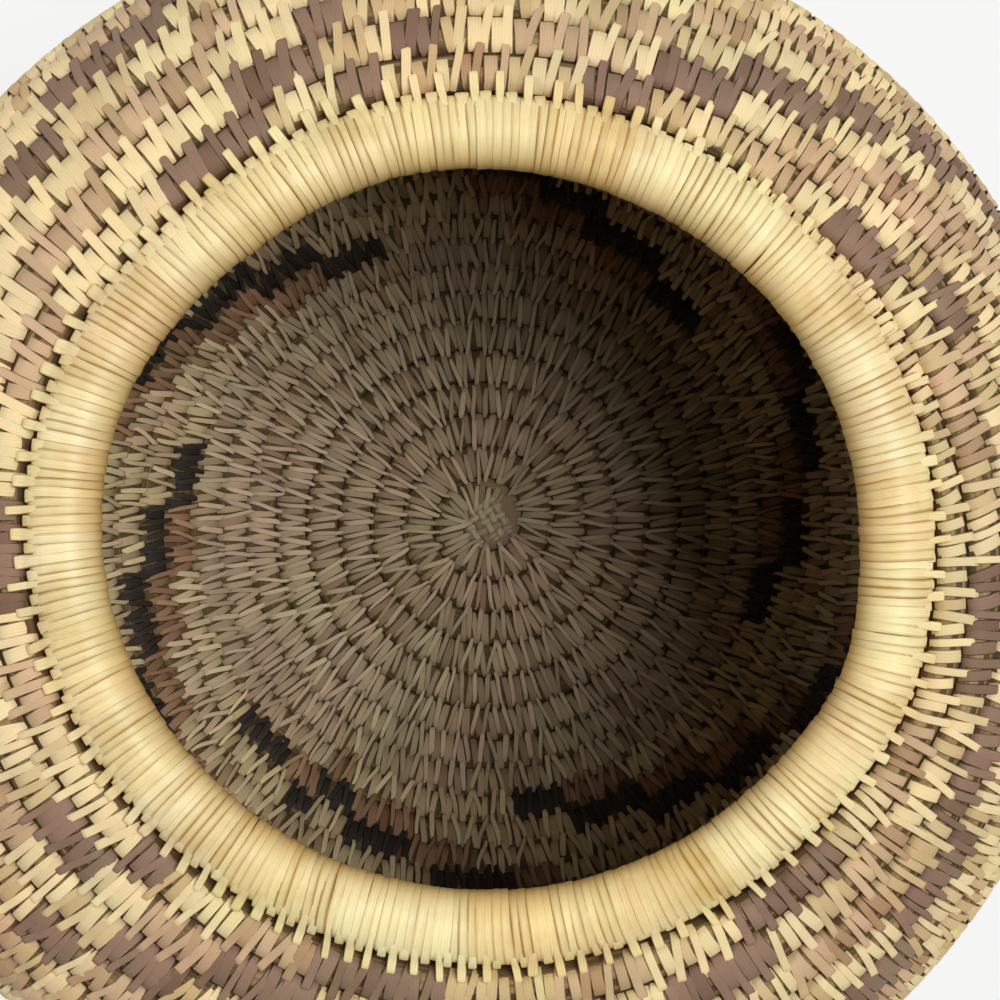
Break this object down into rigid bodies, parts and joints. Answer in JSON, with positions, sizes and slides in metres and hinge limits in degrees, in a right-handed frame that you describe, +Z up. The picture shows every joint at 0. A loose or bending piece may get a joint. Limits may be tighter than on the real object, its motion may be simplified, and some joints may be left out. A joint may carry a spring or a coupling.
{
  "type": "coiled basket",
  "caption": "Round coiled basket of plant fibre with a small flat base, a wide belly, a turned-in shoulder and a thick wrapped rim.",
  "frame": {"origin": "centre of the outline seen from above, on the surface that the basket stands on", "axes": "+Z up out of the mouth. The mouth lies a little off the belly's axis, towards +X and +Y"},
  "size_m": [0.2076, 0.2078, 0.1395],
  "materials": {
    "start_knot": "worn dull plant fibre, grey with age",
    "plain_coil": "dull split-stitched plant fibre, undyed",
    "patterned_coil": "split-stitched plant fibre in cream, tan and purple-brown blocks",
    "rim_core": "bundle of thin grass stems, hidden",
    "rim_wrap": "smooth pale yellow strips, slightly glossy"
  },
  "bodies": {
    "root": {"base_coil": "plain_coil", "belly_coil": "patterned_coil", "heel_coil": "plain_coil", "lower_wall_coil": "patterned_coil", "rim_core": "rim_core", "rim_wrap_01": "rim_wrap", "rim_wrap_02": "rim_wrap", "rim_wrap_03": "rim_wrap", "rim_wrap_04": "rim_wrap", "rim_wrap_05": "rim_wrap", "rim_wrap_06": "rim_wrap", "rim_wrap_07": "rim_wrap", "rim_wrap_08": "rim_wrap", "rim_wrap_09": "rim_wrap", "rim_wrap_10": "rim_wrap", "rim_wrap_11": "rim_wrap", "rim_wrap_12": "rim_wrap", "rim_wrap_13": "rim_wrap", "rim_wrap_14": "rim_wrap", "rim_wrap_15": "rim_wrap", "rim_wrap_16": "rim_wrap", "rim_wrap_17": "rim_wrap", "rim_wrap_18": "rim_wrap", "rim_wrap_19": "rim_wrap", "rim_wrap_20": "rim_wrap", "rim_wrap_21": "rim_wrap", "rim_wrap_22": "rim_wrap", "rim_wrap_23": "rim_wrap", "rim_wrap_24": "rim_wrap", "rim_wrap_25": "rim_wrap", "rim_wrap_26": "rim_wrap", "rim_wrap_27": "rim_wrap", "rim_wrap_28": "rim_wrap", "shoulder_coil": "patterned_coil", "start_knot": "start_knot", "upper_wall_coil": "patterned_coil"}
  },
  "joints": []
}
